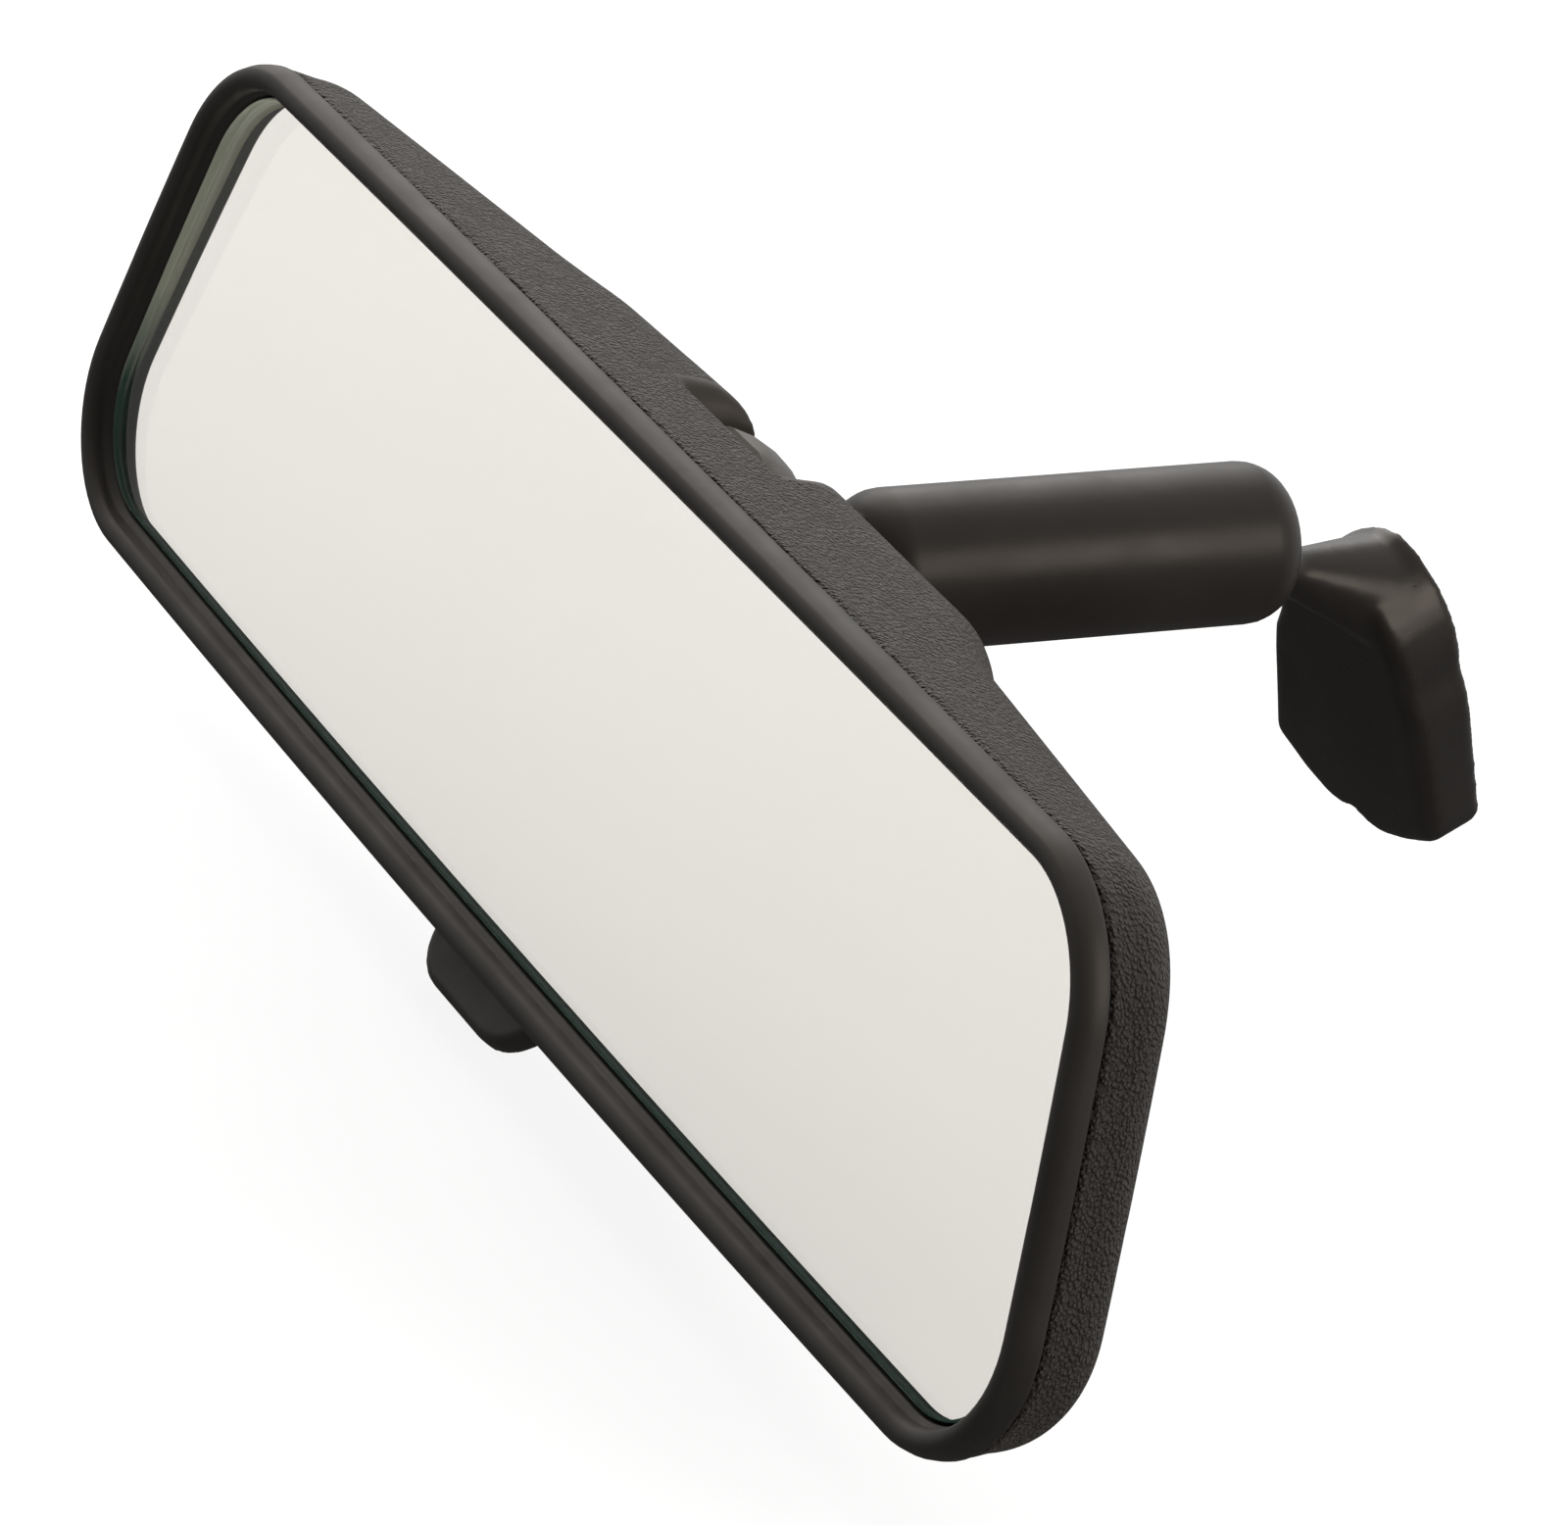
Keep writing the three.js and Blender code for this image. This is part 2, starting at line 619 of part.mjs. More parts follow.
function armSpring() {
  const inset = 10.9;
  const length = BALL_SPACING - 2 * inset - 1.6;
  const wire = new THREE.Shape().absarc(0, 0, 0.7, 0, 2 * Math.PI, false);
  const geometry = new THREE.ExtrudeGeometry(new THREE.Shape(wire.getPoints(3)), {
    steps: 84,
    bevelEnabled: false,
    extrudePath: new Helix(5.6, length, 7),
  });
  const turn = new THREE.Quaternion().setFromUnitVectors(V(0, 1, 0), armDir);
  const at = FRONT_BALL.clone().addScaledVector(armDir, inset + 0.8);
  geometry.applyQuaternion(turn).translate(at.x, at.y, at.z);
  const solid = manifoldOf(geometry);
  return solid.volume() < 0 ? manifoldOf(flipped(mergeVertices(geometry, 1e-4))) : solid;
}

// ---- foot ----
// Foot axes: W across, U up along the windshield, N out of the foot into the windshield.
const yaw = FOOT_YAW * DEG;
const rake = FOOT_RAKE * DEG;
const footH = V(-Math.sin(yaw), Math.cos(yaw), 0);
const footN = footH.clone().multiplyScalar(Math.cos(rake)).add(V(0, 0, Math.sin(rake)));
const footU = footH.clone().multiplyScalar(-Math.sin(rake)).add(V(0, 0, Math.cos(rake)))
  .applyAxisAngle(footN, FOOT_ROLL * DEG);
const footW = footN.clone().cross(footU);
const PLATE_AT = V(-9.19, 120.24, 7.35);

// A place on the foot: w across, n out of the windshield face, u up from the plate's middle.
const onFoot = (w, n, u) =>
  PLATE_AT.clone().addScaledVector(footW, w).addScaledVector(footN, n).addScaledVector(footU, u);

// Outline of the foot plate seen from the driver, [w, u], counter-clockwise.
function plateLoop(grow) {
  const half = PLATE_HALF + grow;
  const right = [[0, PLATE_BOTTOM - grow], [4.5, PLATE_BOTTOM - grow], [8.6, PLATE_BOTTOM + 1.8 - grow],
    [half - 0.8, PLATE_BOTTOM + 4.6 - grow], [half, PLATE_BOTTOM + 6.4], [half - 0.6, -6],
    [half - 1.1, 1], [half - 1.6, 5]];
  for (let k = 0; k <= 9; k++) {
    const a = (k * Math.PI) / 18;
    const up = SHOULDER_UP + (PLATE_TOP + grow - SHOULDER_UP) * Math.sin(a);
    right.push([(half - 2.9) * Math.cos(a) ** 1.3, up]);
  }
  const left = right.slice(1, -1).map(([w, u]) => [-w, u]).reverse();
  return [...right, ...left].map(([w, u]) => [w + PLATE_LEAN * Math.max(0, u - SHOULDER_UP), u]);
}

function footPlate() {
  const front = (grow, step) =>
    plateLoop(grow).map(([w, u]) => onFoot(w, step - PLATE_T - PLATE_WEDGE * u, u));
  const back = plateLoop(0).map(([w, u]) => onFoot(w, 0, u));
  return fanLoft([front(-1.6, 0), front(-0.7, 0.5), front(-0.2, 1.4), back]);
}

// Horn: a thin neck from the ball that fans out to the whole upper half of the plate's rear edge.
const HORN_START = 10.2;
const HORN_LOW = 2;

function footHorn() {
  const target = onFoot(0.8, -9.5, 17.4);
  const neckDir = target.clone().sub(REAR_BALL).normalize();
  const neckEnd = REAR_BALL.clone().addScaledVector(neckDir, HORN_START);
  const neck = rod(NECK_R, REAR_BALL.clone().addScaledVector(neckDir, 3), neckEnd, 36);
  const side = neckDir.clone().cross(V(0, 0, 1)).normalize();
  const lift = side.clone().cross(neckDir).normalize();
  const points = plateLoop(-0.5).filter(([, u]) => u >= HORN_LOW).map(([w, u]) => onFoot(w, -1.2, u));
  for (let i = 0; i < 36; i++) {
    const q = (i * Math.PI) / 18;
    const reach = side.clone().multiplyScalar(Math.cos(q)).addScaledVector(lift, Math.sin(q));
    points.push(neckEnd.clone().addScaledVector(reach, NECK_R).addScaledVector(neckDir, -0.6));
  }
  return union(neck, wasm.Manifold.hull(points.map((p) => p.toArray())));
}

const screwTilt = 30 * DEG;
const screwDir = footU.clone().multiplyScalar(Math.cos(screwTilt))
  .addScaledVector(footN, Math.sin(screwTilt));
const screwAt = onFoot(0, -6.6, PLATE_BOTTOM - 0.4);

function windshieldFoot() {
  const body = union(footPlate(), footHorn(), ball(BALL_R, REAR_BALL, 28));
  const lips = [[-CHANNEL_LIP, 1], [CHANNEL_LIP, 1], [CHANNEL_LIP, -1.4], [CHANNEL_HALF, -2.2],
    [CHANNEL_HALF, -CHANNEL_DEEP], [-CHANNEL_HALF, -CHANNEL_DEEP], [-CHANNEL_HALF, -2.2], [-CHANNEL_LIP, -1.4]];
  const channel = slab(lips, 29, footW, footN, onFoot(0, 0, PLATE_BOTTOM - 2));
  const bore = rod(SCREW_R + GAP, screwAt.clone().addScaledVector(screwDir, -3),
    screwAt.clone().addScaledVector(screwDir, 9), 24);
  return less(body, channel, bore);
}

function setScrew() {
  const from = screwAt.clone().addScaledVector(screwDir, 1.2);
  const to = screwAt.clone().addScaledVector(screwDir, 6.4);
  const body = rod(SCREW_R, from, to, 24, 0.35);
  const hexagon = rod(1.0, from.clone().addScaledVector(screwDir, -1), from.clone().addScaledVector(screwDir, 2.2), 6);
  return less(body, hexagon);
}

// ---- assembly ----
const LOOK = {
  case_black: { color: 0x2b2826, roughness: 0.72, metalness: 0 },
  rim_black: { color: 0x262423, roughness: 0.42, metalness: 0 },
  glass: { color: 0xcfe3d8, roughness: 0.03, metalness: 0 },
  silver: { color: 0xd9d9d6, roughness: 0.06, metalness: 1 },
  foam: { color: 0x3a3a3a, roughness: 0.95, metalness: 0 },
  inner_plastic: { color: 0x4a4744, roughness: 0.6, metalness: 0 },
  zinc: { color: 0x8a8682, roughness: 0.45, metalness: 0.8 },
  steel: { color: 0xa8a8a6, roughness: 0.35, metalness: 1 },
  tube_black: { color: 0x2a2725, roughness: 0.4, metalness: 0.3 },
  nylon: { color: 0xe6e2d6, roughness: 0.5, metalness: 0 },
  foot_black: { color: 0x201e1d, roughness: 0.38, metalness: 0.3 },
};

const skins = Object.fromEntries(
  Object.entries(LOOK).map(([name, look]) => [name, new THREE.MeshStandardMaterial({ name, ...look })]),
);

const group = new THREE.Group();
group.name = "rearview_mirror";
const head = new THREE.Group();
const mount = onFoot(0, 0, MOUNT_UP);
head.position.set(-mount.x - PIVOT_X, -mount.y, -mount.z);
const pivot = new THREE.Group();
pivot.position.copy(mount).negate();
group.add(head, pivot);

function put(name, solid, skin, parent = pivot) {
  const mesh = new THREE.Mesh(geometryOf(solid), skins[skin]);
  mesh.name = name;
  parent.add(mesh);
}

put("case_shell", caseShell(), "case_black", head);
put("bezel_rim", bezelRim(), "rim_black", head);
put("prism_glass", prismGlass(), "glass", head);
put("silver_backing", sheetBehindGlass(GLASS_OFF - 0.4, GAP, SILVER_T), "silver", head);
put("foam_pad", foamPad(), "foam", head);
put("carrier_plate", carrierPlate(), "inner_plastic", head);
SCREW_SPOTS.forEach((spot, k) => put("carrier_screw_" + (k + 1), carrierScrew(spot), "steel", head));
put("hinge_pin", pin(HINGE_PIN_R, HINGE, 12.6), "steel");
put("pivot_block", pivotBlock(), "zinc");
put("ball_stud", ballStud(), "steel");
put("toggle_lever", toggleLever(), "rim_black");
put("lever_pin", pin(LEVER_PIN_R, LEVER_PIN, 12.6), "steel");
put("toggle_spring", toggleSpring(), "steel");
put("arm_tube", armTube(), "tube_black");
put("seat_ring_front", seatRing(FRONT_BALL, armBack), "nylon");
put("seat_ring_rear", seatRing(REAR_BALL, armDir), "nylon");
put("socket_cup_front", socketCup(FRONT_BALL, armBack), "nylon");
put("socket_cup_rear", socketCup(REAR_BALL, armDir), "nylon");
put("arm_spring", armSpring(), "steel");
put("windshield_foot", windshieldFoot(), "foot_black");
put("set_screw", setScrew(), "steel");

export default group;
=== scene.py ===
import json
import math

import bmesh
import bpy
from mathutils import Matrix, Vector


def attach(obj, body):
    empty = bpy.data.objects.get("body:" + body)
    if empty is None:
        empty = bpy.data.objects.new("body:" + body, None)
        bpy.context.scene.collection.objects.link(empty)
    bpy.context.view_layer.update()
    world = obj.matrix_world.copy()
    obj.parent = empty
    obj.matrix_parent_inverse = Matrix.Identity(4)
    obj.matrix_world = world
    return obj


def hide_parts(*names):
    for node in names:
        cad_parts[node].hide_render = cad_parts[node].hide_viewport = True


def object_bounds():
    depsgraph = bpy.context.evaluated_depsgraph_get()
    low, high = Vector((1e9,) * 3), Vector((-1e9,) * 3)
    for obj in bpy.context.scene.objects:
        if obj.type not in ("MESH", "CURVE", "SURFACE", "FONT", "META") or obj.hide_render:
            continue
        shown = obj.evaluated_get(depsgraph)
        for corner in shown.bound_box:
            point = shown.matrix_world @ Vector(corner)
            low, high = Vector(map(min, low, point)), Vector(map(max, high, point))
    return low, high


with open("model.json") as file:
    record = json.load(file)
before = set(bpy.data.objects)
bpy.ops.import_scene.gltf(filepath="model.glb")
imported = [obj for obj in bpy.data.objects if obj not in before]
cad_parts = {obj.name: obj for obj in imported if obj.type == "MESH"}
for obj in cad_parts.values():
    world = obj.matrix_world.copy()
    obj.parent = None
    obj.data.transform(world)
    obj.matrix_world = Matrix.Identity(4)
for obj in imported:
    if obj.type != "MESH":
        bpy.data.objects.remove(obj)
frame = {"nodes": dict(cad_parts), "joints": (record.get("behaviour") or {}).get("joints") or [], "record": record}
cad_low, cad_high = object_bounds()
nodes = frame["nodes"]
joints = {joint["name"]: joint for joint in frame["joints"]}
MM = 0.001


# ---- reference places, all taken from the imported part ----
def joint_place(name):
    return Vector(joints[name]["pos_m"])


FRONT_BALL = joint_place("head_tilt")
REAR_BALL = joint_place("arm_tilt")
TUBE = (FRONT_BALL + REAR_BALL) / 2
# HEAD is the middle of the rim, given in millimetres from the front ball.
HEAD_FROM_BALL = Vector((2.5, -39.05, -17.15))
HEAD = FRONT_BALL + HEAD_FROM_BALL * MM

# ---- sizes of the mirror head in millimetres, measured from HEAD ----
# The two long edges of the rim, run to the sharp corners that the radius then rounds.
RIM_TOP = {"half": 111.2, "radius": 16.6, "bow": 0.42, "sign": 1}
RIM_LOW_EDGE = {"half": 125.34, "radius": 15.1, "bow": 1.38, "sign": -1}
MEAN_HALF = (RIM_TOP["half"] + RIM_LOW_EDGE["half"]) / 2
HALF_HEIGHT = 31.3
SIDE_BOW = 0.69
EDGE_STEPS = 44
ARC_STEPS = 18
SIDE_STEPS = 12
# The case starts at the parting line, CASE_OUT outside the outline, and draws in by DRAFT up to its
# rounded back. Its depth falls towards the ends and rises in the middle, where the turret is.
PARTING = 2.14
CASE_OUT = 1.53
CASE_WALL = 1.9
DRAFT = 0.8
BACK_ROUND = 8
ROUND_STEPS = 12
MID_DEPTH = 20.8
MID_HALF = 50
MID_CROWN = 1.2
END_DEPTH = 13.2
END_SLOPE = 0.125
TURRET_RISE = 3.0
TURRET_LEAN = 0.024
TURRET_HALF = 38
TURRET_LONGER = 3
TURRET_FADE = 15
# The back is closed by copies of its own edge, flattened step by step towards mid-height.
BACK_STEPS = (0.12, 0.25, 0.4, 0.55, 0.7, 0.85, 0.97)
BACK_SHRINK = 0.12
# The notch for the dome of the pivot, whose cutter runs clear of the case behind it and above it, the
# cheeks of plastic beside the notch, and the smooth skin inside it.
NOTCH_HALF = 10.1
NOTCH_FRONT = 13
NOTCH_DEEP = 30
NOTCH_LOW = 7
NOTCH_TOP = 33
NOTCH_OVER = 10
NOTCH_ROUND = 5
NOTCH_STEPS = 16
CHEEK_LOW = 25.8
CHEEK_WIDE = 8
CHEEK_BLOCK = 20
CHEEK_Y = 22
SMOOTH_HALF = 14
SMOOTH_FRONT = 13.1
SMOOTH_LOW = 7.5
# The slot under the case through which the tab passes, by its middle and its size.
SLOT_Y = 13.4
SLOT_Z = -32
SLOT_SIZE = Vector((19, 16, 12))
# The bead of the rim: the round part of its section, a slightly flat arc on which half a turn would
# take BEAD_TURN steps.
BEAD_OUT = -0.1
BEAD_BACK = -0.26
BEAD_HALF = 1.5
BEAD_RISE = 1.4
BEAD_STEPS = 14
BEAD_TURN = 17.9
# The wedge of glass, thicker towards the top.
GLASS_OUT = -2.35
GLASS_FRONT = 1.3
GLASS_THIN = 2.2
GLASS_WEDGE = 2.4
GLASS_BEVEL = 0.35
# Rounding of the moulded and cast pieces: size of the remeshing cells and rounds of smoothing.
CASE_CELL, CASE_ROUNDS = 0.6, 5
FOOT_CELL, FOOT_ROUNDS = 0.4, 22
LEVER_CELL, LEVER_ROUNDS = 0.35, 6
# Facets of the other pieces: the gap that is welded and the angle, in degrees, that stays a sharp edge.
WELD_GAP = 0.002
SHARP_ANGLE = 34

# ---- driving values of the looks ----
# The tint of the shine on plastic and paint, and the grain: pebbles and fine noise per metre, and its
# depth in metres.
WARM_SHINE = (1, 0.89, 0.79, 1)
GRAIN_PEBBLES = 1750
GRAIN_FINE = 2000
GRAIN_DEPTH = 0.0009


# ---- shader helpers ----
def add_ramp(tree, value, stops):
    """A colour ramp; each stop is a place and either a colour or a grey level."""
    node = tree.nodes.new("ShaderNodeValToRGB")
    elements = node.color_ramp.elements
    for i, (at, colour) in enumerate(stops):
        element = elements[i] if i < 2 else elements.new(at)
        element.position = at
        element.color = (*colour, 1) if hasattr(colour, "__len__") else (colour, colour, colour, 1)
    tree.links.new(value, node.inputs["Fac"])
    return node.outputs["Color"]


def split_axes(tree, vector):
    """The X, Y and Z sockets of a vector."""
    node = tree.nodes.new("ShaderNodeSeparateXYZ")
    tree.links.new(vector, node.inputs["Vector"])
    return node.outputs


class Shader:
    """A small builder for node materials."""

    def __init__(self, name):
        self.material = bpy.data.materials.new(name)
        self.material.use_nodes = True
        self.tree = self.material.node_tree
        self.bsdf = self.tree.nodes["Principled BSDF"]
        self.place = self.tree.nodes.new("ShaderNodeTexCoord").outputs["Object"]

    def set(self, **values):
        """Sets inputs of the surface; an underscore stands for a space in their names."""
        for key, value in values.items():
            self.bsdf.inputs[key.replace("_", " ")].default_value = value
        return self

    def link(self, source, target):
        self.tree.links.new(source, self.bsdf.inputs[target])

    def noise(self, scale, detail, rough=0.5, stretch=None):
        node = self.tree.nodes.new("ShaderNodeTexNoise")
        node.inputs["Scale"].default_value = scale
        node.inputs["Detail"].default_value = detail
        node.inputs["Roughness"].default_value = rough
        self.tree.links.new(self.stretched(stretch), node.inputs["Vector"])
        return node.outputs["Fac"]

    def cells(self, scale):
        node = self.tree.nodes.new("ShaderNodeTexVoronoi")
        node.inputs["Scale"].default_value = scale
        self.tree.links.new(self.place, node.inputs["Vector"])
        return node.outputs["Distance"]

    def stretched(self, stretch):
        if stretch is None:
            return self.place
        node = self.tree.nodes.new("ShaderNodeMapping")
        node.inputs["Scale"].default_value = stretch
        self.tree.links.new(self.place, node.inputs["Vector"])
        return node.outputs["Vector"]

    def ramp(self, value, stops):
        return add_ramp(self.tree, value, stops)

    def math(self, kind, a, b):
        node = self.tree.nodes.new("ShaderNodeMath")
        node.operation = kind
        for socket, value in zip(node.inputs, (a, b)):
            if isinstance(value, (int, float)):
                socket.default_value = value
            else:
                self.tree.links.new(value, socket)
        return node.outputs["Value"]

    def bump(self, height, distance, after=None):
        """Ripple on the surface, laid over the ripple given as after."""
        node = self.tree.nodes.new("ShaderNodeBump")
        node.inputs["Distance"].default_value = distance
        node.inputs["Strength"].default_value = 1.0
        self.tree.links.new(height, node.inputs["Height"])
        if after is not None:
            self.tree.links.new(after, node.inputs["Normal"])
        return node.outputs["Normal"]


def satin(name, colour, rough, spread=0.06, wave=0.00002, speck=0.0, shine=0.5):
    """Smooth moulding or paint: slight colour drift, uneven gloss, a trace of ripple, sometimes specks."""
    s = Shader(name)
    s.set(Metallic=0.0, Coat_Weight=0.0, Coat_Roughness=0.2)
    s.set(Specular_IOR_Level=shine, Specular_Tint=WARM_SHINE)
    drift = s.noise(60, 4)
    light = tuple(min(1, c * 1.25 + 0.002) for c in colour)
    s.link(s.ramp(drift, [(0.3, colour), (0.75, light)]), "Base Color")
    gloss = s.noise(140, 5, 0.6)
    s.link(s.ramp(gloss, [(0.25, rough - spread), (0.8, rough + spread)]), "Roughness")
    normal = s.bump(s.noise(350, 3), wave)
    if speck:
        dots = s.ramp(s.cells(420), [(0.0, 1.0), (0.05, 1.0), (0.09, 0.0)])
        few = s.ramp(s.noise(90, 2), [(0.6, 0.0), (0.68, 1.0)])
        normal = s.bump(s.math("MULTIPLY", dots, few), speck, normal)
    s.link(normal, "Normal")
    return s.material


def in_notch(s):
    """One inside the smooth recess round the dome, nought on the grained skin."""
    place = split_axes(s.tree, s.place)
    aside = s.math("ABSOLUTE", s.math("SUBTRACT", place["X"], FRONT_BALL.x), 0.0)
    behind = s.math("GREATER_THAN", place["Y"], HEAD.y + SMOOTH_FRONT * MM)
    above = s.math("GREATER_THAN", place["Z"], HEAD.z + SMOOTH_LOW * MM)
    return s.math("MULTIPLY", s.math("LESS_THAN", aside, SMOOTH_HALF * MM), s.math("MULTIPLY", behind, above))


def grained(name, colour, rough):
    """Black plastic with the fine leather grain of a dashboard part, its creases darkened by painted shade."""
    s = Shader(name).set(Metallic=0.0, Specular_IOR_Level=0.4, Specular_Tint=WARM_SHINE)
    pebble = s.ramp(s.cells(GRAIN_PEBBLES), [(0.0, 1.0), (0.25, 0.85), (0.65, 0.0)])
    fine = s.noise(GRAIN_FINE, 2, 0.6)
    height = s.math("ADD", pebble, s.math("MULTIPLY", fine, 1.2))
    height = s.math("MULTIPLY", height, s.math("SUBTRACT", 1.0, in_notch(s)))
    s.link(s.bump(height, GRAIN_DEPTH, s.bump(s.noise(160, 3), 0.00003)), "Normal")
    # painted shade: the colour falls to 0.4 times in the creases between the pebbles, and the smooth skin of the
    # notch, which has no grain height, takes that darkest colour all over
    dark = tuple(c * 0.4 for c in colour)
    s.link(s.ramp(s.math("MULTIPLY", height, 0.5), [(0.3, dark), (0.78, colour)]), "Base Color")
    s.link(s.ramp(s.noise(300, 4), [(0.2, rough - 0.07), (0.85, rough + 0.07)]), "Roughness")
    return s.material


def metal(name, colour, rough, brush=(1, 1, 1)):
    """Cast or plated metal, with fine lines that brush can draw out along an axis."""
    s = Shader(name).set(Metallic=1.0)
    lines = s.noise(900, 4, 0.6, brush)
    dark = tuple(c * 0.8 for c in colour)
    s.link(s.ramp(lines, [(0.3, dark), (0.7, colour)]), "Base Color")
    s.link(s.ramp(s.noise(240, 4), [(0.2, rough - 0.08), (0.8, rough + 0.08)]), "Roughness")
    s.link(s.bump(lines, 0.00002), "Normal")
    return s.material


LOOKS = {
    "case_black": grained("case grain with painted shade", (0.056, 0.048, 0.042), 0.52),
    "rim_black": satin("rim satin", (0.012, 0.0107, 0.0096), 0.5, shine=0.4),
    "inner_plastic": satin("inner plastic", (0.07, 0.066, 0.062), 0.5),
    "foam": satin("foam", (0.035, 0.035, 0.035), 0.9, 0.05, wave=0.0002),
    "tube_black": satin("tube paint", (0.014, 0.0118, 0.0105), 0.38, speck=0.00008, shine=0.26),
    "foot_black": satin("foot paint", (0.0105, 0.009, 0.008), 0.3, wave=0.00004, speck=0.00012,
                        shine=0.34),
    "nylon": satin("nylon", (0.6, 0.57, 0.5), 0.45),
    "zinc": metal("zinc casting", (0.115, 0.105, 0.094), 0.45),
    "steel": metal("plated steel", (0.55, 0.55, 0.54), 0.32, (1, 0.1, 1)),
    "silver": metal("silvering", (0.9, 0.9, 0.89), 0.06),
}


def dress(obj, look):
    obj.data.materials.clear()
    obj.data.materials.append(look)


for part in frame["record"]["subparts"]:
    if part["material_slot"] in LOOKS:
        dress(nodes[part["node"]], LOOKS[part["material_slot"]])


# ---- the outline of the mirror head ----
def smooth_step(t):
    """Rises softly from nought to one."""
    t = min(1.0, max(0.0, t))
    return t * t * (3 - 2 * t)


def bowed(x, z, edge):
    """A point of the straight-sided outline, moved out by the slight bow of its edges."""
    dz = edge["sign"] * edge["bow"] * (1 - (x / edge["half"]) ** 2) * abs(z) / HALF_HEIGHT
    dx = SIDE_BOW * (1 - (z / HALF_HEIGHT) ** 2) * min(1, x / edge["half"])
    return x + dx, z + dz


def quarter(edge, off):
    """A quarter of the outline, from the middle of a long edge round the corner to mid-height."""
    corner = Vector((edge["half"], edge["sign"] * HALF_HEIGHT))
    along = Vector((-1, 0))
    side = (Vector((MEAN_HALF, 0)) - corner).normalized()
    angle = along.angle(side)
    radius = edge["radius"]
    run = radius / math.tan(angle / 2)
    centre = corner + (along + side).normalized() * (radius / math.sin(angle / 2))
    start, end = corner + along * run, corner + side * run
    first = math.atan2(start.y - centre.y, start.x - centre.x)
    last = math.atan2(end.y - centre.y, end.x - centre.x)
    points = [(start.x * i / EDGE_STEPS, start.y + edge["sign"] * off) for i in range(EDGE_STEPS)]
    for i in range(ARC_STEPS + 1):
        a = first + (last - first) * i / ARC_STEPS
        points.append((centre.x + (radius + off) * math.cos(a), centre.y + (radius + off) * math.sin(a)))
    for i in range(1, SIDE_STEPS + 1):
        x = end.x + (MEAN_HALF - end.x) * i / SIDE_STEPS
        z = end.y * (1 - i / SIDE_STEPS)
        points.append((x + off * math.cos(last), z + off * math.sin(last)))
    return [bowed(x, z, edge) for x, z in points]


def mirrored(points):
    return [(-x, z) for x, z in points]


def outline(off):
    """The whole outline once round, from the left end at mid-height over the top."""
    top, low = quarter(RIM_TOP, off), quarter(RIM_LOW_EDGE, off)
    return mirrored(top)[::-1] + top[1:] + low[:-1][::-1] + mirrored(low)[1:-1]


def ring(off, depth):
    """The outline at one offset, pushed back by depth(x, z)."""
    return [Vector((x, depth(x, z), z)) for x, z in outline(off)]


def back_depth(x):
    """How deep the case is at x: shallower towards the ends, raised by the turret in the middle."""
    a = abs(x)
    if a > MID_HALF:
        body = max(END_DEPTH, MID_DEPTH - (a - MID_HALF) * END_SLOPE)
    else:
        body = MID_DEPTH + MID_CROWN * smooth_step((MID_HALF - a) / MID_HALF)
    reach = a - TURRET_LONGER if x > 0 else a
    raised = 1 - smooth_step((reach - TURRET_HALF) / TURRET_FADE)
    return body + (TURRET_RISE + TURRET_LEAN * x) * raised


# ---- meshes ----
def plain_solid(name, points, faces):
    """A mesh object from points in millimetres about HEAD, with its faces turned outward."""
    data = bpy.data.meshes.new(name)
    data.from_pydata([tuple(HEAD + p * MM) for p in points], [], faces)
    made = bmesh.new()
    made.from_mesh(data)
    bmesh.ops.recalc_face_normals(made, faces=made.faces)
    made.to_mesh(data)
    made.free()
    obj = bpy.data.objects.new(name, data)
    bpy.context.scene.collection.objects.link(obj)
    return obj


def shade_smooth(obj):
    obj.data.polygons.foreach_set("use_smooth", [True] * len(obj.data.polygons))


def mesh_object(name, points, faces, body, node):
    """A new smooth piece, riding on a body in place of a CAD node."""
    obj = plain_solid(name, points, faces)
    shade_smooth(obj)
    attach(obj, body)
    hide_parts(node)
    return obj


def bridge(faces, lower, upper, count):
    """Adds a band of faces between two rings, given by their first points."""
    for i in range(count):
        j = (i + 1) % count
        faces.append((lower + i, lower + j, upper + j, upper + i))


def all_points(rings):
    return [p for one in rings for p in one]


def bowl_rings(inset):
    """Outer (inset 0) or inner skin of the case, from the parting line to the middle of its back."""
    rounding = BACK_ROUND - inset
    base = CASE_OUT - inset

    def depth(x):
        return back_depth(x) - inset

    rings = []
    for t in (0, 0.25, 0.5, 0.75):
        rings.append(ring(base - DRAFT * t, lambda x, z: PARTING + (depth(x) - rounding - PARTING) * t))
    for k in range(ROUND_STEPS + 1):
        a = k * math.pi / (2 * ROUND_STEPS)
        drop = rounding * (1 - math.sin(a))
        rings.append(ring(base - DRAFT - rounding * (1 - math.cos(a)), lambda x, z: depth(x) - drop))
    edge = rings[-1]
    for t in BACK_STEPS:
        shrink = 1 - BACK_SHRINK * t
        rings.append([Vector((p.x * shrink, depth(p.x * shrink), p.z * (1 - t))) for p in edge])
    return rings


def zip_shut(faces, loop, start):
    """Closes an outline with triangles between its upper and lower halves, taken from left to right."""
    count = len(loop)
    far = max(range(count), key=lambda i: loop[i].x)
    upper = list(range(far + 1))
    lower = [0] + list(range(count - 1, far - 1, -1))
    i = j = 0
    while i < len(upper) - 1 or j < len(lower) - 1:
        rise = j == len(lower) - 1 or (i < len(upper) - 1 and loop[upper[i + 1]].x <= loop[lower[j + 1]].x)
        face = (upper[i], upper[i + 1], lower[j]) if rise else (upper[i], lower[j + 1], lower[j])
        i, j = (i + 1, j) if rise else (i, j + 1)
        if len(set(face)) == 3:
            faces.append(tuple(start + k for k in face))


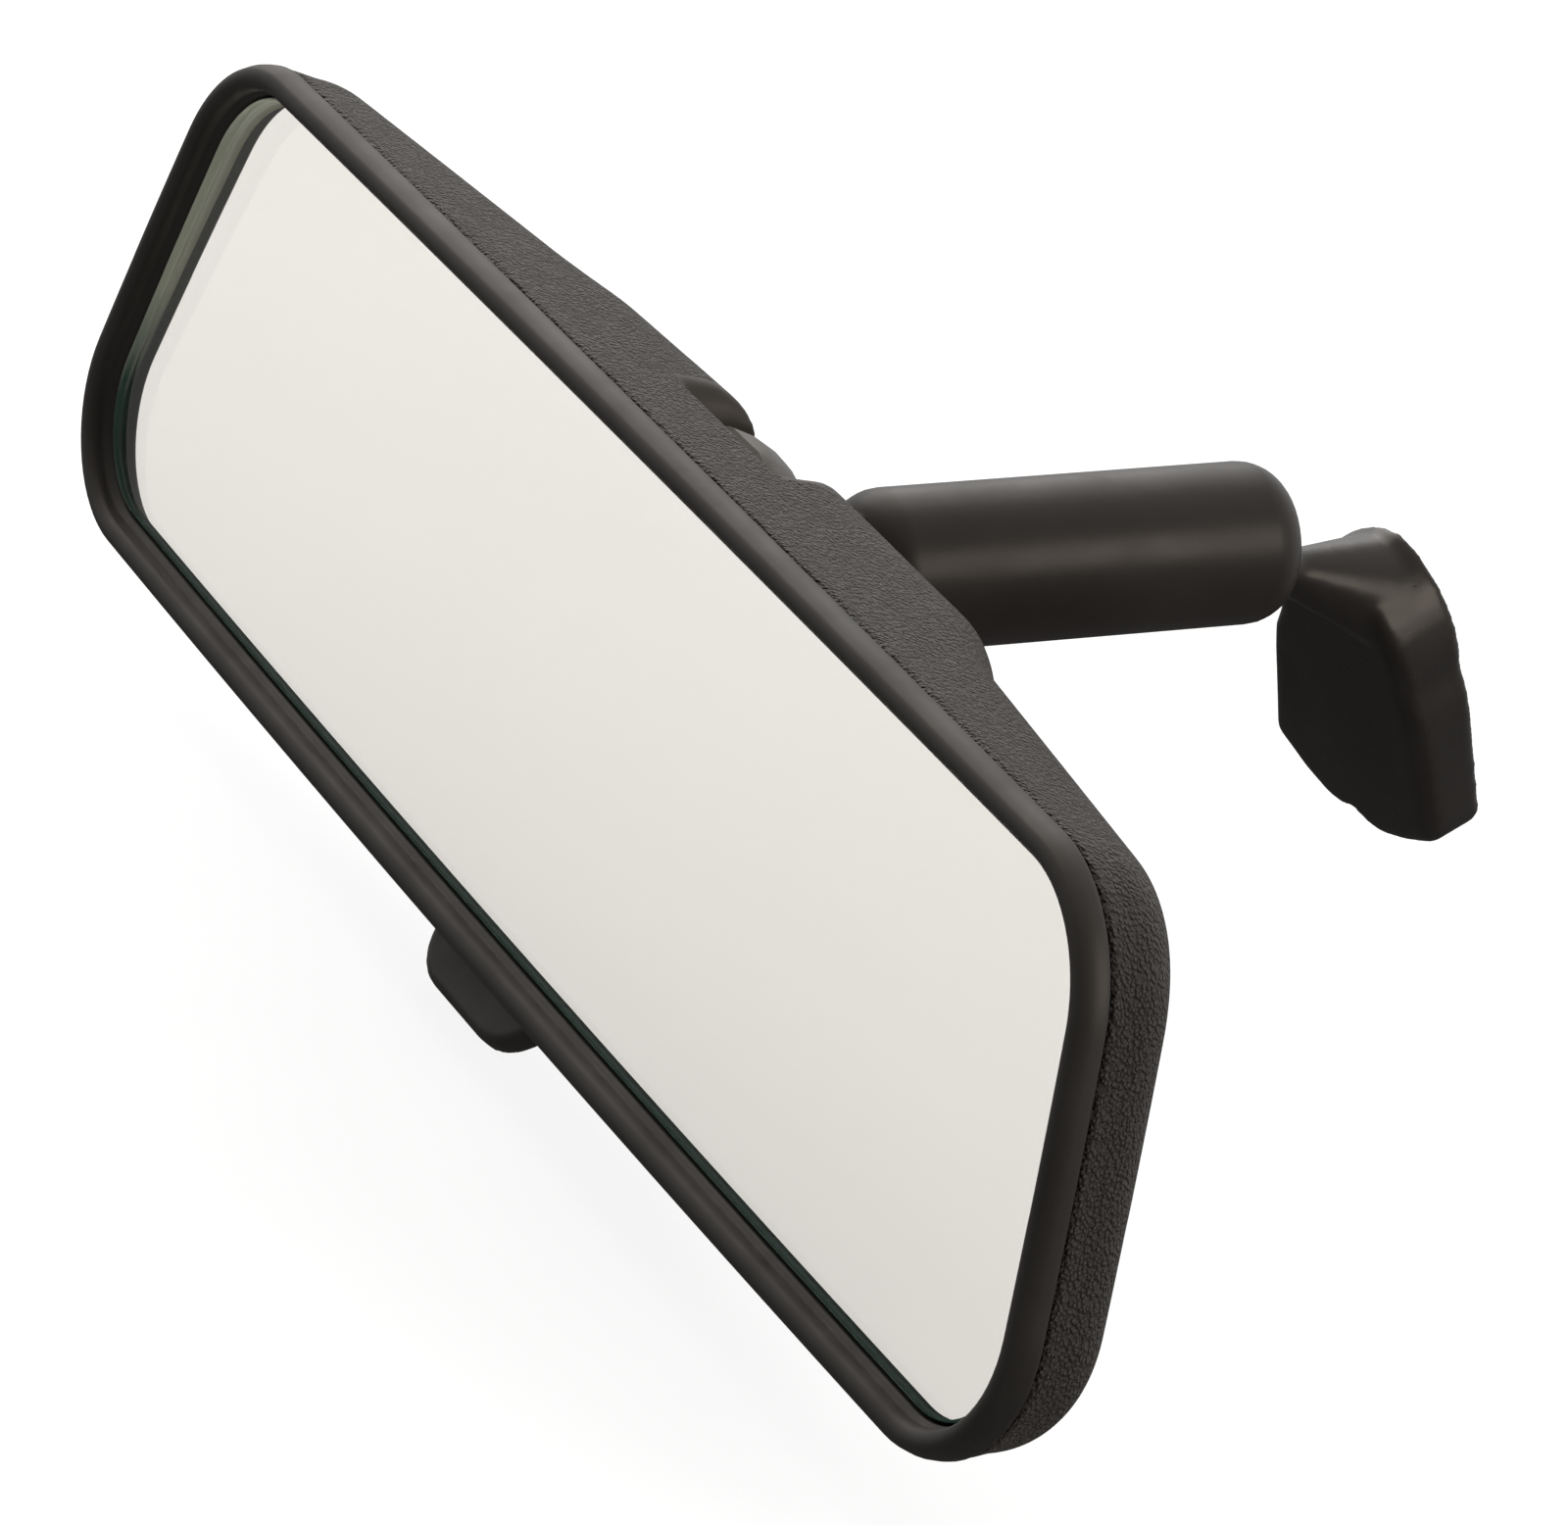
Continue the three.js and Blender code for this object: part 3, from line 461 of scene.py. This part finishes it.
def closed(rings):
    """A solid through a row of outlines, with both ends shut."""
    count = len(rings[0])
    faces = []
    for k in range(len(rings) - 1):
        bridge(faces, k * count, (k + 1) * count, count)
    zip_shut(faces, rings[0], 0)
    zip_shut(faces, rings[-1], (len(rings) - 1) * count)
    return all_points(rings), faces


# ---- cutting and rounding ----
def cutter(name, centre, size):
    """A block, given by its centre and size in millimetres about HEAD."""
    bpy.ops.mesh.primitive_cube_add(size=1, location=HEAD + centre * MM)
    obj = bpy.context.object
    obj.name = name
    obj.scale = size * MM
    bpy.ops.object.transform_apply(location=False, rotation=False, scale=True)
    return obj


def combine(obj, tool, kind):
    """Cuts a tool out of an object, joins it on or keeps what they share."""
    modifier = obj.modifiers.new("cut", "BOOLEAN")
    modifier.operation = kind
    modifier.solver = "EXACT"
    modifier.object = tool


def settle(obj, tools):
    """Applies the modifiers and removes the tools."""
    graph = bpy.context.evaluated_depsgraph_get()
    final = bpy.data.meshes.new_from_object(obj.evaluated_get(graph))
    obj.modifiers.clear()
    obj.data = final
    for tool in tools:
        bpy.data.objects.remove(tool)


def soften(obj, cell, rounds):
    """Rounds a faceted form as moulding and casting do."""
    remesh = obj.modifiers.new("remesh", "REMESH")
    remesh.mode = "VOXEL"
    remesh.voxel_size = cell * MM
    remesh.use_smooth_shade = True
    even = obj.modifiers.new("even", "SMOOTH")
    even.factor = 0.5
    even.iterations = rounds


def smooth_facets(obj):
    """Shades the facets of a CAD node as one surface, with its real edges kept."""
    normals = obj.data.attributes.get("custom_normal")
    if normals is not None:
        obj.data.attributes.remove(normals)
    shade_smooth(obj)
    if not obj.modifiers:
        weld = obj.modifiers.new("weld", "WELD")
        weld.merge_threshold = WELD_GAP * MM
        split = obj.modifiers.new("edges", "EDGE_SPLIT")
        split.split_angle = math.radians(SHARP_ANGLE)


# ---- the case, with its notch and slot ----
def cheek(pivot_x, side):
    """The wall of plastic beside the notch, taken from the solid form of the case."""
    points, faces = closed(bowl_rings(0))
    solid = plain_solid("cheek", points, faces)
    middle_x = pivot_x + side * (NOTCH_HALF + CHEEK_WIDE / 2)
    centre = Vector((middle_x, CHEEK_Y, CHEEK_LOW + CHEEK_BLOCK / 2))
    limit = cutter("cheek limit", centre, Vector((CHEEK_WIDE, CHEEK_BLOCK, CHEEK_BLOCK)))
    combine(solid, limit, "INTERSECT")
    settle(solid, [limit])
    return solid


def notch_tool(pivot_x):
    """The notch: straight sides that round outward into the top of the case."""
    side = [(NOTCH_HALF, NOTCH_LOW)]
    for k in range(NOTCH_STEPS + 1):
        a = k * math.pi / (2 * NOTCH_STEPS)
        x = NOTCH_HALF + NOTCH_ROUND * (1 - math.cos(a))
        z = NOTCH_TOP - NOTCH_ROUND * (1 - math.sin(a))
        side.append((x, z))
    side.append((NOTCH_HALF + NOTCH_ROUND, NOTCH_TOP + NOTCH_OVER))
    loop = side + mirrored(side[::-1])
    ends = (NOTCH_FRONT, NOTCH_FRONT + NOTCH_DEEP)
    points = [Vector((pivot_x + x, y, z)) for y in ends for x, z in loop]
    faces = [tuple(range(len(loop))), tuple(len(loop) + i for i in range(len(loop)))]
    bridge(faces, 0, len(loop), len(loop))
    return plain_solid("notch", points, faces)


def build_case():
    """The grained case: an open bowl with walls, cheeks joined on, notch and slot cut out."""
    points, faces = closed(bowl_rings(CASE_WALL)[::-1] + bowl_rings(0))
    case = mesh_object("case", points, faces, "case", "case_shell")
    dress(case, LOOKS["case_black"])
    pivot_x = (FRONT_BALL - HEAD).x / MM
    cheeks = [cheek(pivot_x, side) for side in (-1, 1)]
    for tool in cheeks:
        combine(case, tool, "UNION")
    slot = cutter("slot", Vector((pivot_x, SLOT_Y, SLOT_Z)), SLOT_SIZE)
    tools = [notch_tool(pivot_x), slot]
    for tool in tools:
        combine(case, tool, "DIFFERENCE")
    settle(case, cheeks + tools)
    soften(case, CASE_CELL, CASE_ROUNDS)


# ---- the rim ----
def rim_section():
    """The rim cut across, once round: distance out from the outline and depth."""
    section = [(-1.66, 0.9), (-1.66, 0.1)]
    for k in range(BEAD_STEPS + 1):
        a = math.pi - k * math.pi / BEAD_TURN
        section.append((BEAD_OUT + BEAD_HALF * math.cos(a), BEAD_BACK - BEAD_RISE * math.sin(a)))
    section += [(1.4, -0.35), (1.56, 0.1), (1.62, 0.6), (1.66, 1.1), (1.66, 1.62), (1.56, 1.8), (1.3, 1.84)]
    section += [(-0.82, 1.84), (-1.17, 4.1), (-1.96, 4.1), (-1.96, 0.9)]
    return section


def build_rim():
    """The smooth bead that holds the glass."""
    rings = [ring(off, lambda x, z: y) for off, y in rim_section()]
    count = len(rings[0])
    faces = []
    for k in range(len(rings)):
        bridge(faces, k * count, ((k + 1) % len(rings)) * count, count)
    rim = mesh_object("rim", all_points(rings), faces, "case", "bezel_rim")
    dress(rim, LOOKS["rim_black"])


# ---- the glass ----
def glass_back(z):
    return GLASS_FRONT + GLASS_THIN + GLASS_WEDGE * (z + HALF_HEIGHT) / (2 * HALF_HEIGHT)


def build_glass():
    """The prism: clear in front, ground on its edges and silvered behind."""
    rings = [
        ring(GLASS_OUT - GLASS_BEVEL, lambda x, z: GLASS_FRONT),
        ring(GLASS_OUT, lambda x, z: GLASS_FRONT + GLASS_BEVEL),
        ring(GLASS_OUT, lambda x, z: glass_back(z) - GLASS_BEVEL),
        ring(GLASS_OUT - GLASS_BEVEL, lambda x, z: glass_back(z)),
    ]
    count = len(rings[0])
    last = (len(rings) - 1) * count
    faces = []
    for start in range(0, last, count):
        bridge(faces, start, start + count, count)
    faces.append(tuple(range(count)))
    faces.append(tuple(last + i for i in range(count)))
    glass = mesh_object("glass", all_points(rings), faces, "case", "prism_glass")
    for look in (CLEAR, GROUND, SILVERED):
        glass.data.materials.append(look)
    bevel_y = glass.data.vertices[count].co.y
    for face in glass.data.polygons:
        on_edge = len(face.vertices) == 4
        face.use_smooth = on_edge
        if on_edge:
            face.material_index = 1
        else:
            face.material_index = 0 if face.center.y < bevel_y else 2


def clear_glass(name, colour):
    """Clear glass, almost free of haze."""
    s = Shader(name).set(IOR=1.52, Transmission_Weight=1.0, Base_Color=(*colour, 1))
    s.link(s.ramp(s.noise(25, 2), [(0.3, 0.0), (0.8, 0.002)]), "Roughness")
    return s.material


def ground_edge_painted_light_and_shade(name, pale, deep):
    """The ground edge of the glass, green as the glass is, paler towards the top as painted light and deep green
    along the bottom as painted shade.
    """
    s = Shader(name).set(Metallic=0.0, Specular_IOR_Level=0.4)
    place = split_axes(s.tree, s.place)
    # painted light and shade: the colour runs from dark green below the middle of the head to pale green above it
    height = s.math("MULTIPLY", s.math("SUBTRACT", place["Z"], HEAD.z), 10.0)
    height = s.math("ADD", height, s.math("MULTIPLY", s.noise(200, 3), 0.05))
    s.link(s.ramp(s.math("ADD", height, 0.5), [(0.36, deep), (0.5, pale)]), "Base Color")
    s.link(s.ramp(s.noise(140, 5, 0.6), [(0.25, 0.3), (0.8, 0.42)]), "Roughness")
    return s.material


def silvering(name, colour):
    """A mirror coating with a barely uneven tone and gloss."""
    s = Shader(name).set(Metallic=1.0)
    faint = tuple(c * 0.985 for c in colour)
    s.link(s.ramp(s.noise(12, 2), [(0.2, faint), (0.8, colour)]), "Base Color")
    s.link(s.ramp(s.noise(30, 2), [(0.2, 0.0), (0.8, 0.006)]), "Roughness")
    return s.material


CLEAR = clear_glass("clear glass", (0.97, 0.985, 0.975))
# the pale colour is the painted light of the upper edge, the deep one the painted shade of the lower edge
GROUND = ground_edge_painted_light_and_shade("ground glass edge", (0.66, 0.7, 0.55), (0.06, 0.13, 0.1))
SILVERED = silvering("silvered back", (0.79, 0.755, 0.72))

build_case()
build_rim()
build_glass()
soften(nodes["windshield_foot"], FOOT_CELL, FOOT_ROUNDS)
soften(nodes["toggle_lever"], LEVER_CELL, LEVER_ROUNDS)
for obj in nodes.values():
    smooth_facets(obj)

# ---- floor and studio, with places and sizes in metres ----
FLOOR_SIZE = 14
FLOOR_DROP = 0.4 * MM
GLOW_LEFT = 0.3
ROOM_HEIGHT = [(0.0, 0.04), (0.25, 0.06), (0.33, 0.25), (0.45, 0.5), (0.55, 0.75), (0.68, 0.9), (0.85, 0.75),
               (1.0, 0.75)]
ROOM_SIDE = [(0.0, 0.14), (0.3, 0.28), (0.6, 0.7), (0.8, 0.9), (1.0, 0.9)]
ROOM_BRIGHT_WAY = (-0.777, 0.521, 0.352)
ROOM_STRENGTH = 1.3
LAMP_COLOUR = (1, 0.965, 0.93)
KEY_FROM_HEAD = Vector((-1.15, 0.15, 0.95))
WINDOW_FROM_TUBE = Vector((0.777, 0.371, 0.507))


def paper_floor(name):
    """A pale floor that glows by itself, a little more towards the left."""
    s = Shader(name).set(Metallic=0.0, Specular_IOR_Level=0.2)
    s.link(s.ramp(s.noise(40, 3), [(0.3, (0.2, 0.2, 0.199)), (0.7, (0.21, 0.21, 0.209))]), "Base Color")
    across = s.math("ADD", split_axes(s.tree, s.place)["X"], GLOW_LEFT)
    s.link(s.ramp(across, [(0.0, 1.0), (0.35, 0.84)]), "Emission Color")
    s.set(Roughness=0.9, Emission_Strength=1.0)
    return s.material


bpy.ops.mesh.primitive_plane_add(size=FLOOR_SIZE, location=(0, 0, cad_low.z - FLOOR_DROP))
floor = bpy.context.object
floor.name = "floor"
dress(floor, paper_floor("paper floor"))
floor.visible_glossy = False


def studio_world():
    """A soft room, brightest behind the mirror on its left and above eye height, dark below."""
    world = bpy.data.worlds.new("studio")
    bpy.context.scene.world = world
    world.use_nodes = True
    tree = world.node_tree
    direction = tree.nodes.new("ShaderNodeTexCoord").outputs["Generated"]
    height = split_axes(tree, direction)["Z"]
    facing = tree.nodes.new("ShaderNodeVectorMath")
    facing.operation = "DOT_PRODUCT"
    facing.inputs[1].default_value = ROOM_BRIGHT_WAY
    tree.links.new(direction, facing.inputs[0])
    levels = []
    for source, stops in ((height, ROOM_HEIGHT), (facing.outputs["Value"], ROOM_SIDE)):
        spread = tree.nodes.new("ShaderNodeMapRange")
        spread.inputs["From Min"].default_value = -1
        tree.links.new(source, spread.inputs["Value"])
        levels.append(add_ramp(tree, spread.outputs["Result"], stops))
    both = tree.nodes.new("ShaderNodeVectorMath")
    both.operation = "MULTIPLY"
    tree.links.new(levels[0], both.inputs[0])
    tree.links.new(levels[1], both.inputs[1])
    tree.links.new(both.outputs["Vector"], tree.nodes["Background"].inputs["Color"])
    tree.nodes["Background"].inputs["Strength"].default_value = ROOM_STRENGTH


def area_light(name, place, target, size, power):
    """A square lamp that faces its target."""
    data = bpy.data.lights.new(name, "AREA")
    data.energy = power
    data.size = size
    data.color = LAMP_COLOUR
    lamp = bpy.data.objects.new(name, data)
    lamp.location = place
    lamp.rotation_mode = "QUATERNION"
    lamp.rotation_quaternion = (target - place).to_track_quat("-Z", "Y")
    bpy.context.scene.collection.objects.link(lamp)


studio_world()
bpy.context.scene.view_settings.view_transform = "Standard"
area_light("key", HEAD + KEY_FROM_HEAD, HEAD, size=1.4, power=9)
area_light("window", TUBE + WINDOW_FROM_TUBE, TUBE, size=0.5, power=3.4)

# ---- camera: its axes and its place from HEAD in metres, as solved for the photograph ----
CAMERA_RIGHT = Vector((0.437697, 0.850194, 0.292561))
CAMERA_UP = Vector((-0.451958, -0.073246, 0.889027))
CAMERA_BACK = CAMERA_RIGHT.cross(CAMERA_UP).normalized()
CAMERA_FROM_HEAD = Vector((0.735499, -0.460743, 0.326726))
LENS = 191.25
SENSOR_WIDTH = 36
NEAREST, FARTHEST = 0.05, 20
camera_data = bpy.data.cameras.new("camera")
camera_data.lens = LENS
camera_data.sensor_width = SENSOR_WIDTH
camera_data.clip_start = NEAREST
camera_data.clip_end = FARTHEST
camera = bpy.data.objects.new("camera", camera_data)
bpy.context.scene.collection.objects.link(camera)
bpy.context.scene.camera = camera
camera.location = HEAD + CAMERA_FROM_HEAD
camera.rotation_mode = "QUATERNION"
camera.rotation_quaternion = Matrix((CAMERA_RIGHT, CAMERA_UP, CAMERA_BACK)).transposed().to_quaternion()
